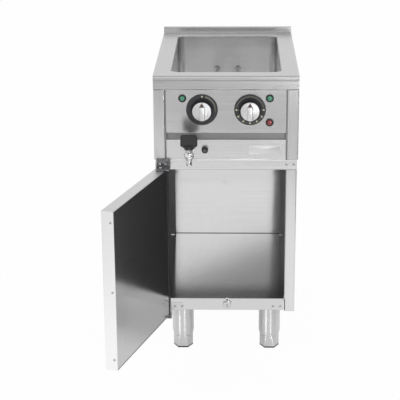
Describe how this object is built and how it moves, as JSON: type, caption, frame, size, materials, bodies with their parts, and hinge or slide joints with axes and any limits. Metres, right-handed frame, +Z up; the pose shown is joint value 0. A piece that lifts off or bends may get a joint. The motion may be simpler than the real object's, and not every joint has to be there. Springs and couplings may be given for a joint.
{
  "type": "bain marie",
  "caption": "Floor-standing bain marie: wet well in a steel worktop, control front with dials, lamps and drain tap, on an open cabinet with a hinged door and levelling legs.",
  "frame": {"origin": "on the floor, under the middle of the footprint with the door open as pictured", "axes": "+Z up, the control front and the open door look along -Y, +X to the viewer's right"},
  "size_m": [0.5119, 0.9965, 0.85],
  "materials": {
    "brushed_steel": "brushed stainless sheet",
    "polished_steel": "satin polished stainless sheet",
    "leg_steel": "polished stainless tube",
    "chrome": "bright plated metal",
    "zinc_steel": "zinc plated steel",
    "black_plastic": "black moulded plastic",
    "dial_black": "black anodised scale ring with pale gold marks",
    "button_grey": "dark grey moulded plastic",
    "silver_cap": "brushed aluminium",
    "green_lens": "green lamp lens",
    "red_lens": "red lamp lens",
    "label_foil": "blank metal foil",
    "element_steel": "stainless tube",
    "pipe_steel": "stainless tube",
    "grey_plastic": "grey moulded plastic"
  },
  "bodies": {
    "unit": {"upper_side_left": "brushed_steel", "upper_side_right": "brushed_steel", "rear_panel": "brushed_steel", "base_tray": "brushed_steel", "control_panel": "brushed_steel", "recess_channel": "brushed_steel", "apron_panel": "brushed_steel", "cabinet_side_left": "brushed_steel", "cabinet_side_right": "brushed_steel", "cabinet_crossbar": "brushed_steel", "worktop": "brushed_steel", "well": "polished_steel", "cabinet_liner_left": "polished_steel", "cabinet_liner_right": "polished_steel", "cabinet_back": "polished_steel", "cabinet_floor": "polished_steel", "leg_front_left": "leg_steel", "leg_front_right": "leg_steel", "leg_rear_left": "leg_steel", "leg_rear_right": "leg_steel", "tap_body": "chrome", "tap_locknut": "chrome", "front_screws": "chrome", "element_nuts": "chrome", "hinge_bracket_top": "zinc_steel", "hinge_bracket_bottom": "zinc_steel", "door_catch": "zinc_steel", "reset_collar": "black_plastic", "lamp_left_bezel": "black_plastic", "lamp_right_bezel": "black_plastic", "lamp_low_bezel": "black_plastic", "cable_gland": "black_plastic", "switch_dial": "dial_black", "thermostat_dial": "dial_black", "lamp_left_lens": "green_lens", "lamp_right_lens": "green_lens", "lamp_low_lens": "red_lens", "nameplate": "label_foil", "heating_element": "element_steel", "drain_pipe": "pipe_steel", "switch_body": "grey_plastic", "thermostat_body": "grey_plastic", "safety_limiter": "grey_plastic"},
    "door": {"door_shell": "brushed_steel", "door_liner": "polished_steel", "door_rivets": "chrome", "door_bushes": "grey_plastic"},
    "switch_knob": {"switch_knob": "black_plastic", "switch_cap": "silver_cap", "switch_shaft": "chrome"},
    "thermostat_knob": {"thermostat_knob": "black_plastic", "thermostat_cap": "silver_cap", "thermostat_shaft": "chrome"},
    "tap_lever": {"tap_lever": "black_plastic", "tap_stem": "chrome"},
    "reset_button": {"reset_button": "button_grey"},
    "foot_front_left": {"foot_front_left": "leg_steel"},
    "foot_front_right": {"foot_front_right": "leg_steel"},
    "foot_rear_left": {"foot_rear_left": "leg_steel"},
    "foot_rear_right": {"foot_rear_right": "leg_steel"}
  },
  "joints": [
    {"name": "door_hinge", "type": "hinge", "parent": "unit", "child": "door", "pos_m": [-0.12478, -0.13646, 0.3505], "axis": [0, 0, -1], "range_deg": [-107.9, 72.1]},
    {"name": "switch_turn", "type": "hinge", "parent": "unit", "child": "switch_knob", "pos_m": [-0.00978, -0.11146, 0.735], "axis": [0, 1, 0], "range_deg": [0, 100]},
    {"name": "thermostat_turn", "type": "hinge", "parent": "unit", "child": "thermostat_knob", "pos_m": [0.12222, -0.11146, 0.735], "axis": [0, 1, 0], "range_deg": [0, 270]},
    {"name": "tap_turn", "type": "hinge", "parent": "unit", "child": "tap_lever", "pos_m": [-0.04278, -0.18846, 0.626], "axis": [0, 0, 1], "range_deg": [0, 90]},
    {"name": "reset_press", "type": "slide", "parent": "unit", "child": "reset_button", "axis": [0, 1, 0], "range_m": [0, 0.003], "stiffness_N_per_m": 800},
    {"name": "foot_front_left_level", "type": "slide", "parent": "unit", "child": "foot_front_left", "axis": [0, 0, -1], "range_m": [0, 0.05]},
    {"name": "foot_front_right_level", "type": "slide", "parent": "unit", "child": "foot_front_right", "axis": [0, 0, -1], "range_m": [0, 0.05]},
    {"name": "foot_rear_left_level", "type": "slide", "parent": "unit", "child": "foot_rear_left", "axis": [0, 0, -1], "range_m": [0, 0.05]},
    {"name": "foot_rear_right_level", "type": "slide", "parent": "unit", "child": "foot_rear_right", "axis": [0, 0, -1], "range_m": [0, 0.05]}
  ]
}
